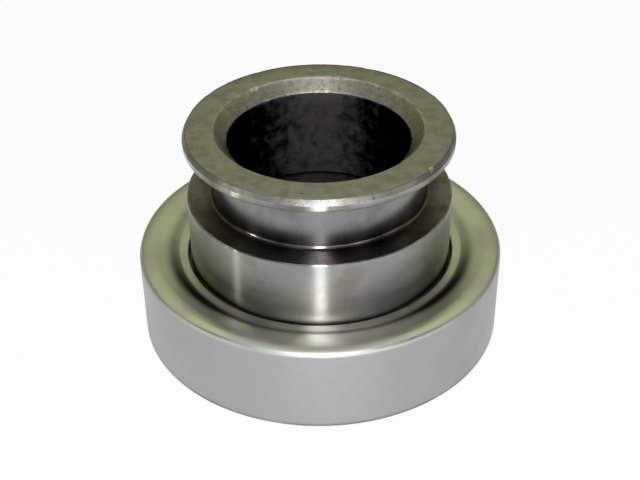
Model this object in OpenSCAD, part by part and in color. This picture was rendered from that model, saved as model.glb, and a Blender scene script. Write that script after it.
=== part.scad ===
// Clutch release bearing with a grooved guide sleeve.
// The axis is Z. The clutch side is down: the contact face lies on z = 0 and the fork groove is at the top.

/* [Guide sleeve] */
// Bore that slides on the gearbox guide tube, diameter
bore_d = 35; // [28:0.5:45]
// Chamfer at the upper mouth of the bore
mouth_chamfer = 2.35; // [1:0.05:2.6]
// Chamfer at the lower end of the bore
end_chamfer = 0.8; // [0.4:0.1:1.4]
// Length of the lower guide land, from the sleeve's end to the grease recess
lower_land_l = 9.5; // [6:0.5:14]
// Length of the grease recess in the bore
recess_l = 12.75; // [6:0.25:16]
// Depth of the grease recess
recess_depth = 0.8; // [0.3:0.1:1.2]
// Wall of the neck at the bottom of the fork groove
neck_wall = 3.1; // [2:0.1:5]
// Width of the fork groove along the axis
groove_w = 11.3; // [8:0.1:16]
// Round in the two inner corners of the fork groove
groove_fillet = 0.7; // [0.3:0.1:1.5]
// Height of the upper flange's edge above the neck
flange_rise = 5.2; // [3:0.1:7]
// Thickness of the upper flange
flange_t = 2.4; // [2:0.1:5]
// Height of the bevel on the flange's upper edge
bevel_h = 1.1; // [0.4:0.1:1.6]
// Inset of the bevel on the flange's upper edge
bevel_inset = 0.55; // [0.2:0.05:1]
// Height of the shoulder's edge above the neck
shoulder_rise = 5.1; // [3.5:0.1:6.5]
// Length of the shoulder from the inner ring to the fork groove
shoulder_l = 15.2; // [8:0.1:24]
// Chamfer on the shoulder's upper edge
shoulder_chamfer = 0.2; // [0.1:0.05:1]
// Wall of the spigot that carries the inner ring
spigot_wall = 3; // [2:0.1:5]

/* [Ball bearing] */
// Ball diameter
ball_d = 7.938; // [6:0.001:10]
// Angle of the line of thrust through each ball, up from the horizontal
contact_angle = 40; // [25:1:50]
// Radius of the raceway's section as a share of the ball diameter
race_conformity = 0.52; // [0.515:0.005:0.54]
// Gap between a ball and each raceway
race_clear = 0.05; // [0.03:0.01:0.1]
// Angle to which the high thrust shoulders reach round the balls
shoulder_angle = 67; // [58:1:72]
// Angle to which the low shoulders reach round the balls
relief_angle = 23; // [15:1:30]
// Wall of the inner ring behind the balls
inner_wall = 3.5; // [2:0.1:6]
// Wall of the outer ring behind the balls
outer_wall = 2.6; // [1.6:0.02:5]
// Height of the outer ring above the balls
outer_rise = 4.55; // [3.6:0.05:7]
// Chamfer on the rings' edges
ring_chamfer = 0.5; // [0.2:0.1:0.8]

/* [Contact flange] */
// Thickness of the contact flange under the balls
contact_t = 3.6; // [3:0.1:6]
// Gap between the contact flange and the balls
ball_gap = 1; // [0.6:0.1:2]
// Gap between the contact flange and the inner ring
ring_gap = 0.6; // [0.3:0.1:1]
// Height by which the contact face stands proud of the shell
nose_proud = 1.1; // [0.6:0.1:1.6]
// Round on the outer edge of the contact face
nose_round = 1.6; // [0.6:0.1:2]
// Round on the inner edge of the contact face
bore_round = 0.9; // [0.3:0.1:1]

/* [Ball cage] */
// Least web between two ball pockets
cage_web = 2.2; // [1.6:0.1:4]
// Gap between a ball and its pocket
pocket_clear = 0.2; // [0.1:0.05:0.4]
// Height of the cage's rim above the balls
cage_rim = 1.6; // [1:0.1:2.2]
// Reach of the cage's horns below the ball centres
horn_reach = 1.6; // [1:0.1:2]
// Slot between the two horns of neighbouring pockets
horn_slot = 0.9; // [0.5:0.1:1.2]
// Gap between the cage and the rings
cage_gap = 0.6; // [0.4:0.05:0.9]

/* [Shell] */
// Thickness of the drawn sheet
sheet_t = 1.2; // [0.8:0.05:1.6]
// Outside radius of the drawn upper corner
corner_r = 1.2; // [0.8:0.1:1.4]
// Outside radius of the crimped lower corner
crimp_r = 0.6; // [0.4:0.1:1]
// Width of the crimped lip under the outer ring
crimp_w = 2; // [1:0.1:2.6]
// Rise of the shell's face from the step to its crest
face_dish = 0.5; // [0.2:0.05:0.8]
// Distance of the face's crest from the outside of the shell
crest_inset = 2.8; // [2.6:0.1:3.2]
// Reach of the soft bend at the crest, to each side
crest_blend = 1.3; // [0.6:0.1:1.5]
// Height of the step between the shell's face and the inner ledge
ledge_drop = 1.05; // [0.6:0.05:1.5]
// Radial run of the step between the face and the ledge
step_run = 2.4; // [1.6:0.1:3]
// Reach of the soft bend on top of the step, to each side
step_blend = 0.8; // [0.4:0.1:1]
// Round in the inner corner at the foot of the step
step_fillet = 1; // [0.4:0.1:2]
// Distance of the step from the outer ring's bore
step_clear = 1.3; // [1:0.1:1.6]
// Gap between the shell's opening and the sleeve's shoulder
rim_gap = 0.45; // [0.3:0.05:0.8]
// Gap between the shell's face and the outer ring
shell_gap = 0.3; // [0.15:0.05:0.6]
// Gap between the ledge and the inner ring
ledge_gap = 0.85; // [0.5:0.05:1.2]

/* [Seal] */
// Radial width between the spigot and the seal's seat
seal_w = 4.1; // [3:0.1:6]
// Radial width of the seal's body
seal_body_w = 1.8; // [1.2:0.1:2.4]
// Set-back of the seal from the contact face
seal_recess = 1; // [0.9:0.1:1.4]
// Stop behind the seal, thickness
seal_stop_t = 0.6; // [0.4:0.1:1]
// Stop behind the seal, radial height
seal_stop_h = 0.7; // [0.4:0.1:1.2]
// Thickness of the lip at the spigot
lip_t = 0.4; // [0.3:0.1:0.6]
// Gap between the lip and the spigot
lip_clear = 0.05; // [0.03:0.01:0.1]
// Length of the spigot past the lip
lip_overrun = 0.8; // [0.7:0.1:1]

/* [Hidden] */
$fn = 128;

// Radii of the sleeve
bore_r = bore_d / 2;
neck_r = bore_r + neck_wall;
flange_r = neck_r + flange_rise;
shoulder_r = neck_r + shoulder_rise;
spigot_r = bore_r + spigot_wall;
spigot_chamfer = lip_overrun / 2;

// Radii of the rings
ball_r = ball_d / 2;
pitch_r = spigot_r + inner_wall + race_clear + ball_r;
race_r = race_conformity * ball_d;
race_shift = race_r - ball_r - race_clear;
outer_r = pitch_r + ball_r + race_clear + outer_wall;
inner_high_r = pitch_r - ball_r * cos(shoulder_angle);
inner_low_r = pitch_r - ball_r * cos(relief_angle);
outer_high_r = pitch_r + ball_r * cos(shoulder_angle);
outer_low_r = pitch_r + ball_r * cos(relief_angle);

// Radii of the shell, the contact face and the seal
shell_r = outer_r + sheet_t;
crimp_in_r = outer_r - crimp_w;
opening_r = shoulder_r + rim_gap;
step_out_r = outer_low_r - step_clear;
step_in_r = step_out_r - step_run;
crest_r = shell_r - crest_inset;
seal_r = spigot_r + seal_w;
seal_stop_r = seal_r - seal_stop_h;
seal_body_r = seal_r - seal_body_w;
lip_r = spigot_r + lip_clear;

// Heights from the contact face up
crimp_top_z = nose_proud + sheet_t;
seal_top_z = contact_t - seal_stop_t;
lip_z = (seal_recess + seal_top_z) / 2;
sleeve_end_z = lip_z - lip_overrun;
inner_end_z = contact_t + ring_gap;
ball_z = contact_t + ball_gap + ball_r;
ball_top_z = ball_z + ball_r;
outer_top_z = ball_top_z + outer_rise;
face_in_z = outer_top_z + shell_gap + sheet_t;
crest_z = face_in_z + face_dish;
ledge_z = face_in_z - ledge_drop;
inner_top_z = ledge_z - sheet_t - ledge_gap;
shoulder_top_z = inner_top_z + shoulder_l;
flange_low_z = shoulder_top_z + groove_w;
top_z = flange_low_z + flange_t;
recess_low_z = sleeve_end_z + lower_land_l;
recess_top_z = recess_low_z + recess_l;

// Cage and balls
cage_in_r = inner_high_r + cage_gap;
cage_out_r = outer_low_r - cage_gap;
cage_low_z = ball_z - horn_reach;
cage_top_z = ball_top_z + cage_rim;
pocket_r = ball_r + pocket_clear;
ball_count = floor(180 / asin((pocket_r + cage_web / 2) / pitch_r));
ball_step = 360 / ball_count;

// Small details that follow the parts they are on
flange_edge_round = min(0.3, (flange_t - bevel_h) / 3);
opening_round = sheet_t / 4;
cut_margin = 1;

function ball_name(i) = str("ball_", i < 10 ? "0" : "", i);

function unit(v) = v / norm(v);

// Point at distance d from p in the direction of q
function toward(p, q, d) = p + unit(q - p) * d;

// What lies between the corner p of an outline and a round of radius r that touches both its sides
module corner_scrap(a, p, b, r) {
    half = acos(unit(a - p) * unit(b - p)) / 2;
    reach = r / tan(half);
    middle = p + unit(unit(a - p) + unit(b - p)) * r / sin(half);
    difference() {
        polygon([p, toward(p, a, reach), middle, toward(p, b, reach)]);
        translate(middle) circle(r);
    }
}

// Scrap at each listed corner of an outline, where a corner is given as [index, radius]
module corner_scraps(outline, corners) {
    n = len(outline);
    for (c = corners)
        corner_scrap(outline[(c[0] + n - 1) % n], outline[c[0]], outline[(c[0] + 1) % n], c[1]);
}

// Section with its outer corners rounded and its inner corners filleted
module section(outline, rounds = [], fillets = []) {
    difference() {
        union() {
            polygon(outline);
            corner_scraps(outline, fillets);
        }
        corner_scraps(outline, rounds);
    }
}

// Sleeve: one turned piece with the flange, fork groove, shoulder and spigot
module sleeve() {
    outline = [
        [bore_r + end_chamfer, sleeve_end_z],
        [spigot_r - spigot_chamfer, sleeve_end_z],
        [spigot_r, sleeve_end_z + spigot_chamfer],
        [spigot_r, inner_top_z],
        [shoulder_r, inner_top_z],
        [shoulder_r, shoulder_top_z - shoulder_chamfer],
        [shoulder_r - shoulder_chamfer, shoulder_top_z],
        [neck_r, shoulder_top_z],
        [neck_r, flange_low_z],
        [flange_r, flange_low_z],
        [flange_r, top_z - bevel_h],
        [flange_r - bevel_inset, top_z],
        [bore_r + mouth_chamfer, top_z],
        [bore_r, top_z - mouth_chamfer],
        [bore_r, recess_top_z],
        [bore_r + recess_depth, recess_top_z - recess_depth],
        [bore_r + recess_depth, recess_low_z + recess_depth],
        [bore_r, recess_low_z],
        [bore_r, sleeve_end_z + end_chamfer]
    ];
    color("gray")
        rotate_extrude()
            section(
                outline,
                rounds = [[9, flange_edge_round]],
                fillets = [[7, groove_fillet], [8, groove_fillet]]
            );
}

// Inner ring: fixed race with its high shoulder above the balls
module inner_ring() {
    outline = [
        [spigot_r + ring_chamfer, inner_end_z],
        [inner_low_r - ring_chamfer, inner_end_z],
        [inner_low_r, inner_end_z + ring_chamfer],
        [inner_low_r, ball_z],
        [inner_high_r, ball_z],
        [inner_high_r, inner_top_z - ring_chamfer],
        [inner_high_r - ring_chamfer, inner_top_z],
        [spigot_r, inner_top_z],
        [spigot_r, inner_end_z + ring_chamfer]
    ];
    color("silver")
        rotate_extrude()
            difference() {
                polygon(outline);
                raceway(-1);
            }
}

// Section of a raceway that carries thrust: side is -1 on the inner ring and 1 on the outer ring
module raceway(side) {
    translate([
        pitch_r - side * race_shift * cos(contact_angle),
        ball_z + side * race_shift * sin(contact_angle)
    ])
        circle(race_r);
}

// Outer ring: turning race with the contact flange below the balls
module outer_ring() {
    outline = [
        [seal_r, 0],
        [crimp_in_r, 0],
        [crimp_in_r, crimp_top_z],
        [outer_r - ring_chamfer, crimp_top_z],
        [outer_r, crimp_top_z + ring_chamfer],
        [outer_r, outer_top_z - ring_chamfer],
        [outer_r - ring_chamfer, outer_top_z],
        [outer_low_r + ring_chamfer, outer_top_z],
        [outer_low_r, outer_top_z - ring_chamfer],
        [outer_low_r, ball_z],
        [outer_high_r, ball_z],
        [outer_high_r, contact_t],
        [seal_stop_r, contact_t],
        [seal_stop_r, seal_top_z],
        [seal_r, seal_top_z]
    ];
    color("darkgray")
        rotate_extrude()
            difference() {
                section(outline, rounds = [[0, bore_round], [1, nose_round]]);
                raceway(1);
            }
}

// Ball cage: one moulded ring with a snap pocket for each ball and a slot between the horns
module ball_cage() {
    horn_h = cage_top_z - cage_low_z;
    color("saddlebrown")
        difference() {
            translate([0, 0, cage_low_z])
                cylinder(h = horn_h, r = cage_out_r);
            translate([0, 0, cage_low_z - cut_margin])
                cylinder(h = horn_h + 2 * cut_margin, r = cage_in_r);
            for (i = [1 : ball_count]) {
                at_ball(i) sphere(pocket_r);
                rotate((i - 0.5) * ball_step)
                    translate([cage_in_r - cut_margin, -horn_slot / 2, cage_low_z - cut_margin])
                        cube([cage_out_r - cage_in_r + 2 * cut_margin, horn_slot, horn_reach + cut_margin]);
            }
        }
}

// Places its children at the centre of a ball
module at_ball(i) {
    rotate((i - 1) * ball_step)
        translate([pitch_r, 0, ball_z])
            children();
}

// Ball
module ball(i) {
    color("gainsboro") at_ball(i) sphere(ball_r);
}

// Slope of the line from p out to q
function slope(p, q) = atan2(q[1] - p[1], q[0] - p[0]);

// Point under the bend p of the sheet, where its slope changes from a to b
function under_sheet(p, a, b) =
    p + sheet_t / cos((a - b) / 2) * [sin((a + b) / 2), -cos((a + b) / 2)];

// Shell: drawn sheet with a stepped, softly crowned face, crimped under the outer ring
module shell() {
    step_in = [step_in_r, ledge_z];
    step_out = [step_out_r, face_in_z];
    crest = [crest_r, crest_z];
    step_slope = slope(step_in, step_out);
    face_slope = slope(step_out, crest);
    step_round = step_blend / tan((step_slope - face_slope) / 2);
    crest_round = crest_blend / tan(face_slope / 2);
    outline = [
        [crimp_in_r, nose_proud],
        [shell_r, nose_proud],
        [shell_r, crest_z],
        crest,
        step_out,
        step_in,
        [opening_r, ledge_z],
        [opening_r, ledge_z - sheet_t],
        under_sheet(step_in, 0, step_slope),
        under_sheet(step_out, step_slope, face_slope),
        under_sheet(crest, face_slope, 0),
        [outer_r, crest_z - sheet_t],
        [outer_r, crimp_top_z],
        [crimp_in_r, crimp_top_z]
    ];
    color("lightgray")
        rotate_extrude()
            section(
                outline,
                rounds = [[1, crimp_r], [2, corner_r], [3, crest_round], [4, step_round], [6, opening_round]],
                fillets = [[5, step_fillet]]
            );
}

// Front seal: moulded rubber ring with a lip on the spigot
module front_seal() {
    outline = [
        [seal_r, seal_recess],
        [seal_r, seal_top_z],
        [seal_body_r, seal_top_z],
        [seal_body_r, lip_z + lip_t],
        [lip_r, lip_z + lip_t / 2],
        [lip_r, lip_z - lip_t / 2],
        [seal_body_r, lip_z - lip_t],
        [seal_body_r, seal_recess]
    ];
    color("dimgray") rotate_extrude() polygon(outline);
}

sleeve();
inner_ring();
ball_cage();
outer_ring();
shell();
front_seal();
for (i = [1 : ball_count])
    ball(i);
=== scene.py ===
"""Looks of a clutch release bearing: guide sleeve, drawn shell and the ball bearing between them."""

import logging
import math
from dataclasses import dataclass, field, replace
from enum import Enum

import bpy
import numpy as np
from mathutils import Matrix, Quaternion, Vector


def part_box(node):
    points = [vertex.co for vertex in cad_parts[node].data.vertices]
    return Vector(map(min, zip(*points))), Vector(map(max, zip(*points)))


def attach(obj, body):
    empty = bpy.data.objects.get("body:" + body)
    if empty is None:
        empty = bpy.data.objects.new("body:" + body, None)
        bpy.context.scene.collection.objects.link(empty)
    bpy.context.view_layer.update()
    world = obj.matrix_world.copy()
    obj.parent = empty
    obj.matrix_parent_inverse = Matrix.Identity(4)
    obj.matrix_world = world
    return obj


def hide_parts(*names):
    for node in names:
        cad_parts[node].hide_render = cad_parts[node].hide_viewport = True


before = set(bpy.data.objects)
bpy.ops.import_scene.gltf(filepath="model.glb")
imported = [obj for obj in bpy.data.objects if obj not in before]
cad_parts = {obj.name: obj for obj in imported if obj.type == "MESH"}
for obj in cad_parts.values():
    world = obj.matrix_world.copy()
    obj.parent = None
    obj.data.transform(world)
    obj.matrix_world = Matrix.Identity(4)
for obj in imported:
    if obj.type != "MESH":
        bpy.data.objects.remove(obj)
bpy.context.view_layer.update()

log = logging.getLogger("release_bearing")

Colour = tuple[float, float, float]
Operand = "Value | float"

MM = 0.001
FULL_TURN = 2 * math.pi
ORIGIN = (0.0, 0.0, 0.0)
WHITE = (1.0, 1.0, 1.0)


class Value:
    """Output of a shader node that can be used in a Python expression."""

    def __init__(self, graph: "Graph", socket: bpy.types.NodeSocket) -> None:
        """Keeps the output and the graph that it belongs to."""
        self.graph = graph
        self.socket = socket

    def __add__(self, other: Operand) -> "Value":
        """Sum of the two."""
        return self.graph.math("ADD", self, other)

    __radd__ = __add__

    def __sub__(self, other: Operand) -> "Value":
        """This value less the other."""
        return self.graph.math("SUBTRACT", self, other)

    def __rsub__(self, other: Operand) -> "Value":
        """The other value less this one."""
        return self.graph.math("SUBTRACT", other, self)

    def __mul__(self, other: Operand) -> "Value":
        """Product of the two."""
        return self.graph.math("MULTIPLY", self, other)

    __rmul__ = __mul__

    def __truediv__(self, other: Operand) -> "Value":
        """This value divided by the other."""
        return self.graph.math("DIVIDE", self, other)

    def __rtruediv__(self, other: Operand) -> "Value":
        """The other value divided by this one."""
        return self.graph.math("DIVIDE", other, self)


class Graph:
    """Node tree of a material or of the world, built from Python expressions."""

    def __init__(self, tree: bpy.types.NodeTree) -> None:
        """Takes over a node tree and empties it."""
        self.tree = tree
        tree.nodes.clear()

    def node(
        self, kind: str, settings: dict | None = None, inputs: dict | None = None, output: str | int = 0
    ) -> Value:
        """Adds one node.

        Args:
            kind: Blender's name of the node's type.
            settings: Properties of the node, set before its sockets. "stops" holds a ramp's positions
                and colours.
            inputs: Values or links of the sockets, by name or number.
            output: Output that is wanted, by name or number.

        Returns:
            The wanted output.
        """
        made = self.tree.nodes.new(kind)
        for key, value in (settings or {}).items():
            if key == "stops":
                self._set_stops(made.color_ramp, value)
            else:
                setattr(made, key, value)
        for key, value in (inputs or {}).items():
            self._feed(made.inputs[key], value)
        return Value(self, made.outputs[output] if len(made.outputs) else None)

    def _feed(self, socket: bpy.types.NodeSocket, value: object) -> None:
        """Links a value to a socket, or sets a plain number or colour on it.

        Args:
            socket: Input of a node.
            value: What it gets.
        """
        if isinstance(value, Value):
            self.tree.links.new(value.socket, socket)
        elif socket.type == "RGBA" and len(value) == 3:
            socket.default_value = (*value, 1.0)
        else:
            socket.default_value = value

    @staticmethod
    def _set_stops(ramp: bpy.types.ColorRamp, stops: list[tuple[float, Colour]]) -> None:
        """Sets a ramp's stops.

        Args:
            ramp: The ramp.
            stops: Position and colour of each stop.
        """
        while len(ramp.elements) < len(stops):
            ramp.elements.new(1.0)
        for element, (position, colour) in zip(ramp.elements, stops):
            element.position = position
            element.color = (*colour, 1.0)

    def math(self, operation: str, first: Operand, second: Operand = 0.0) -> Value:
        """Adds a Math node for two values."""
        return self.node("ShaderNodeMath", {"operation": operation}, {0: first, 1: second})

    def vector(self, operation: str, first: object, second: object = ORIGIN, output: int = 0) -> Value:
        """Adds a Vector Math node for two vectors or colours."""
        return self.node("ShaderNodeVectorMath", {"operation": operation}, {0: first, 1: second}, output)

    def scaled(self, vector: object, factor: Operand) -> Value:
        """A vector or colour times a number."""
        return self.node("ShaderNodeVectorMath", {"operation": "SCALE"}, {0: vector, "Scale": factor})

    def combine(self, x: Operand, y: Operand, z: Operand) -> Value:
        """A vector from its three parts."""
        return self.node("ShaderNodeCombineXYZ", None, {0: x, 1: y, 2: z})

    def height_of(self, place: Value) -> Value:
        """Height of a point."""
        return self.node("ShaderNodeSeparateXYZ", None, {0: place}, "Z")

    def mix(self, factor: Operand, first: object, second: object) -> Value:
        """A colour between two, the first at factor 0 and the second at factor 1."""
        settings = {"data_type": "RGBA", "clamp_factor": True}
        return self.node("ShaderNodeMix", settings, {0: factor, 6: first, 7: second}, 2)

    def noise(self, place: Value, scale: float, detail: float = 3.0, roughness: float = 0.55) -> Value:
        """Soft noise between 0 and 1 at a place."""
        inputs = {"Vector": place, "Scale": scale, "Detail": detail, "Roughness": roughness}
        return self.node("ShaderNodeTexNoise", None, inputs)

    def between(self, value: Value, low: float, high: float) -> Value:
        """0 at low, 1 at high, with a soft step between them."""
        settings = {"interpolation_type": "SMOOTHSTEP"}
        return self.node("ShaderNodeMapRange", settings, {"Value": value, "From Min": low, "From Max": high})

    def limited(self, value: Value, low: float = 0.0, high: float = 1.0) -> Value:
        """The value, kept between two limits."""
        return self.node("ShaderNodeClamp", None, {"Value": value, "Min": low, "Max": high})

    def attribute(self, name: str) -> Value:
        """A number that the mesh holds for each of its points."""
        return self.node("ShaderNodeAttribute", {"attribute_name": name}, None, "Fac")

    def place(self) -> Value:
        """Point on the object in its own frame, m."""
        return self.node("ShaderNodeTexCoord", output="Object")

    def glow(self, colour: object) -> Value:
        """A shader that gives off a colour by itself."""
        return self.node("ShaderNodeEmission", None, {"Color": colour, "Strength": 1.0})

    def show(self, shader: Value) -> None:
        """Puts a shader on the surface."""
        self.node("ShaderNodeOutputMaterial", None, {"Surface": shader})


def new_material(name: str) -> tuple[bpy.types.Material, Graph]:
    """Makes an empty material.

    Args:
        name: Name of the material.

    Returns:
        The material and its graph.
    """
    material = bpy.data.materials.new(name)
    material.use_nodes = True
    return material, Graph(material.node_tree)


def new_object(name: str, data: bpy.types.ID) -> bpy.types.Object:
    """Adds an object to the scene.

    Args:
        name: Name of the object.
        data: Its mesh, light or camera.

    Returns:
        The new object.
    """
    made = bpy.data.objects.new(name, data)
    bpy.context.scene.collection.objects.link(made)
    return made


class Lay(Enum):
    """How the marks of making lie on a surface of revolution."""

    TURNED = "rings that follow each other up the axis"
    FACED = "rings that follow each other outward"
    CLOUDED = "no rings, only soft clouds"


class Mark(str, Enum):
    """Names of the numbers that a turned mesh holds for its shaders."""

    # Wear, and painted highlights and painted lit walls
    WEAR_AND_HIGHLIGHT = "wear_and_highlight"
    # Dirt, and painted shade in corners, gaps and on darker sides
    GRIME = "grime_and_shade"


@dataclass(frozen=True)
class MetalFinish:
    """Finish of a bare or plated metal surface.

    Attributes:
        name: Name of the material.
        colour: Colour of the clean metal.
        stain: Colour of its stains.
        lay: How the marks of making lie.
        roughness: Mean roughness.
        roughness_spread: How far clouds and marks move the roughness.
        metallic: How metallic it is under its film of oil and oxide.
        specular: Gloss of the film where it isn't metallic.
        anisotropy: How far highlights are drawn out across the marks.
        stain_cover: Share of the surface that stains reach.
        stain_per_mm: Stains to the millimetre.
        stain_edge: Softness of the stains' edges, 0 to 0.5.
        mark_pitch: Distance between tool marks, mm.
        mark_contrast: How far the marks change the tone.
        grain_contrast: How far the fine grain changes the tone.
        pit_cover: Share of the surface with small pits.
        pit_per_mm: Pits to the millimetre where there are any.
        relief: Depth of the marks and pits, mm.
        wear_per_mm: Blotches of wear and painted highlight to the millimetre.
        wear_break: How far the blotches break up the wear and painted highlight.
        bright: Colour of the edges where they are rubbed, and of painted highlights and painted lit walls.
        grime_and_shade: Colour of the dirt in the corners, and of the shade painted into corners, gaps and
            darker sides.
    """

    name: str
    colour: Colour
    stain: Colour
    lay: Lay = Lay.TURNED
    roughness: float = 0.4
    roughness_spread: float = 0.12
    metallic: float = 1.0
    specular: float = 0.5
    anisotropy: float = 0.0
    stain_cover: float = 0.35
    stain_per_mm: float = 0.22
    stain_edge: float = 0.14
    mark_pitch: float = 0.35
    mark_contrast: float = 0.16
    grain_contrast: float = 0.12
    pit_cover: float = 0.0
    pit_per_mm: float = 0.9
    relief: float = 0.006
    wear_per_mm: float = 2.4
    wear_break: float = 0.6
    bright: Colour = (0.46, 0.44, 0.41)
    grime_and_shade: Colour = (0.045, 0.035, 0.028)

    # Fine grain, soft clouds and groups of pits to the millimetre
    GRAIN_PER_MM = 2.4
    CLOUDS_PER_MM = 0.6
    PIT_GROUPS_PER_MM = 0.35
    # How often the tool marks change on their way round the axis
    MARK_CHANGES = 2.5
    # Noise above which there are stains or pits, and how far it falls as they cover more
    STAIN_LEVEL, STAIN_FALL = 0.65, 0.3
    PIT_LEVEL, PIT_FALL = 0.75, 0.5
    # Radii of a pit's floor and of its rim, and the softness of a group's edge
    PIT_RADII = (0.1, 0.26)
    PIT_GROUP_EDGE = 0.08
    # Wear and painted highlight at which the bright colour starts to show and at which it covers the surface
    WORN_AND_LIT = (0.2, 0.8)
    # How dark a pit is, and how the dirt and painted shade follow the clouds
    PIT_DIRT = 0.8
    GRIME_LEAST, GRIME_CLOUD = 0.6, 0.8
    # How far pits roughen the surface and wear smooths it, and the limits of its roughness
    PIT_ROUGHENS, WEAR_SMOOTHS = 0.2, 0.08
    ROUGHNESS_LIMITS = (0.08, 0.9)
    # Shares of the marks, the grain and the pits in the relief, and how strongly it shows
    MARK_RELIEF, GRAIN_RELIEF, PIT_RELIEF = 0.7, 0.3, 1.5
    RELIEF_STRENGTH = 0.6
    # Turn that draws highlights out across the marks
    ACROSS_MARKS = 0.25

    def material(self) -> bpy.types.Material:
        """Builds the finish as a material.

        Returns:
            The new material.
        """
        material, graph = new_material(self.name)
        place = graph.scaled(graph.place(), 1 / MM)
        marks = self._marks(graph, place)
        cloud = graph.noise(place, self.stain_per_mm, detail=4.0)
        middle = self.STAIN_LEVEL - self.STAIN_FALL * self.stain_cover
        stained = graph.between(cloud, middle - self.stain_edge, middle + self.stain_edge)
        grain = graph.noise(place, self.GRAIN_PER_MM, detail=2.0)
        pits = self._pits(graph, place)
        # The wear mark also paints highlights and lit walls in the bright colour, and the grime mark also
        # paints shade in the grime colour
        wear_and_highlight = graph.attribute(Mark.WEAR_AND_HIGHLIGHT.value)
        grime_and_shade = graph.attribute(Mark.GRIME.value) * (self.GRIME_LEAST + self.GRIME_CLOUD * cloud)
        blotch = graph.noise(place, self.wear_per_mm, detail=4.0, roughness=0.6)
        worn_and_lit = graph.between(wear_and_highlight + self.wear_break * (blotch - 0.5), *self.WORN_AND_LIT)

        tone = 1 + 2 * self.mark_contrast * (marks - 0.5) + 2 * self.grain_contrast * (grain - 0.5)
        base = graph.scaled(graph.mix(stained, self.colour, self.stain), tone)
        base = graph.mix(worn_and_lit, base, self.bright)
        base = graph.mix(pits * self.PIT_DIRT, base, self.grime_and_shade)
        base = graph.mix(graph.limited(grime_and_shade), base, self.grime_and_shade)

        rough = self.roughness + self.roughness_spread * (marks - 0.5) + self.roughness_spread * stained
        rough = rough + self.PIT_ROUGHENS * pits - self.WEAR_SMOOTHS * worn_and_lit
        height = self.MARK_RELIEF * marks + self.GRAIN_RELIEF * grain - self.PIT_RELIEF * pits
        bump = {"Strength": self.RELIEF_STRENGTH, "Distance": self.relief * MM, "Height": height}
        surface = {
            "Base Color": base,
            "Roughness": graph.limited(rough, *self.ROUGHNESS_LIMITS),
            "Metallic": self.metallic,
            "Specular IOR Level": self.specular,
            "Anisotropic": self.anisotropy,
            "Anisotropic Rotation": self.ACROSS_MARKS,
            "Normal": graph.node("ShaderNodeBump", None, bump),
        }
        graph.show(graph.node("ShaderNodeBsdfPrincipled", None, surface))
        return material

    def _marks(self, graph: Graph, place: Value) -> Value:
        """Tool marks as a number between 0 and 1.

        Args:
            graph: Graph that the marks are built in.
            place: Point on the object, mm.

        Returns:
            The marks, drawn out round the axis unless the finish has none.
        """
        if self.lay is Lay.CLOUDED:
            return graph.noise(place, self.CLOUDS_PER_MM)
        flat = graph.vector("MULTIPLY", place, (1.0, 1.0, 0.0))
        radius = graph.vector("LENGTH", flat, output=1)
        across = graph.height_of(place) if self.lay is Lay.TURNED else radius
        round_axis = graph.scaled(graph.vector("NORMALIZE", flat), self.MARK_CHANGES)
        along = graph.vector("ADD", round_axis, graph.combine(0.0, 0.0, across / self.mark_pitch))
        return graph.noise(along, 1.0, detail=4.0, roughness=0.65)

    def _pits(self, graph: Graph, place: Value) -> Value:
        """Small pits as a number between 0 and 1.

        Args:
            graph: Graph that the pits are built in.
            place: Point on the object, mm.

        Returns:
            The pits, in loose groups.
        """
        inputs = {"Vector": place, "Scale": self.pit_per_mm, "Randomness": 1.0}
        distance = graph.node("ShaderNodeTexVoronoi", None, inputs, "Distance")
        group = graph.noise(place, self.PIT_GROUPS_PER_MM, detail=2.0)
        level = self.PIT_LEVEL - self.PIT_FALL * self.pit_cover
        grouped = graph.between(group, level, level + self.PIT_GROUP_EDGE)
        return (1 - graph.between(distance, *self.PIT_RADII)) * grouped


@dataclass(frozen=True)
class MouldedFinish:
    """Finish of a moulded plastic or rubber piece.

    Attributes:
        name: Name of the material.
        colour: Colour of the compound.
        second: Colour that it drifts towards.
        roughness: Mean roughness.
        grain_per_mm: Grain of the moulded surface, to the millimetre.
        relief: Depth of the grain, mm.
    """

    name: str
    colour: Colour
    second: Colour
    roughness: float
    grain_per_mm: float
    relief: float

    # Clouds of the second colour to the millimetre, and the noise at which one starts and is full
    DRIFT_PER_MM = 0.3
    DRIFTED = (0.35, 0.65)
    # How far the clouds and the grain move the roughness, and its limits
    DRIFT_ROUGHENS, GRAIN_ROUGHENS = 0.2, 0.1
    ROUGHNESS_LIMITS = (0.1, 0.95)
    # How strongly the grain shows
    RELIEF_STRENGTH = 0.5

    def material(self) -> bpy.types.Material:
        """Builds the finish as a material.

        Returns:
            The new material.
        """
        material, graph = new_material(self.name)
        place = graph.scaled(graph.place(), 1 / MM)
        drift = graph.noise(place, self.DRIFT_PER_MM, detail=4.0)
        grain = graph.noise(place, self.grain_per_mm)
        rough = self.roughness + self.DRIFT_ROUGHENS * (drift - 0.5) + self.GRAIN_ROUGHENS * (grain - 0.5)
        bump = {"Strength": self.RELIEF_STRENGTH, "Distance": self.relief * MM, "Height": grain}
        surface = {
            "Base Color": graph.mix(graph.between(drift, *self.DRIFTED), self.colour, self.second),
            "Roughness": graph.limited(rough, *self.ROUGHNESS_LIMITS),
            "Normal": graph.node("ShaderNodeBump", None, bump),
        }
        graph.show(graph.node("ShaderNodeBsdfPrincipled", None, surface))
        return material


HIDDEN_TURNING = MetalFinish("hidden_turning", (0.40, 0.39, 0.37), (0.27, 0.24, 0.20), roughness=0.45)
# Near-black and without gloss: painted shade in the gap between shoulder and shell, partly grease
GAP_GREASE_AND_SHADE = MetalFinish(
    "gap_grease_and_painted_shade", (0.007, 0.006, 0.005), (0.004, 0.0035, 0.003),
    lay=Lay.CLOUDED, roughness=0.6, metallic=0.0, specular=0.0, stain_cover=0.5,
)
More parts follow.
